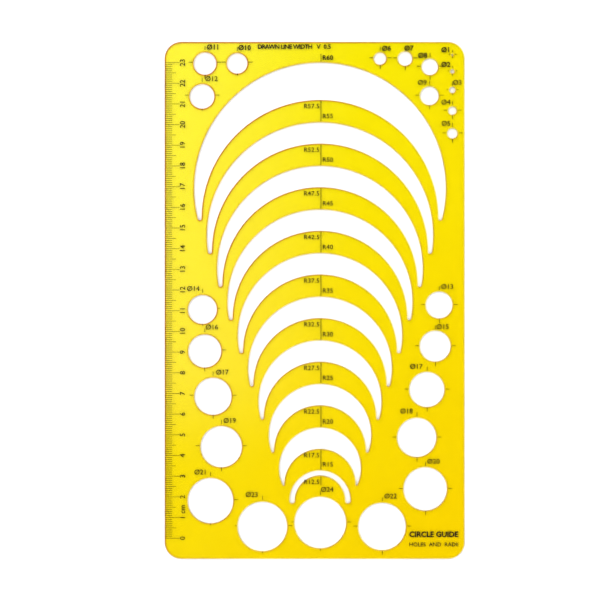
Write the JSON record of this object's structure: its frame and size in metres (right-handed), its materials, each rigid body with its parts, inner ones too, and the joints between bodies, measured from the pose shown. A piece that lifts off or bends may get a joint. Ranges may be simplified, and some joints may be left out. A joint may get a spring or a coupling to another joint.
{
  "type": "circle template",
  "caption": "Flat transparent drawing template with round holes, nested crescent radius openings and a straight graduated edge.",
  "frame": {"origin": "middle of the underside, which lies on the paper", "axes": "+X across the sheet, away from the graduated edge; +Y along the sheet, towards the smallest holes; +Z out of the printed face"},
  "size_m": [0.145, 0.25, 0.0012],
  "materials": {
    "clear_yellow_plastic": "glossy, transparent yellow",
    "black_printing_ink": "matt black, screen printed on the sheet"
  },
  "bodies": {
    "root": {"template_sheet": "clear_yellow_plastic"}
  },
  "joints": []
}
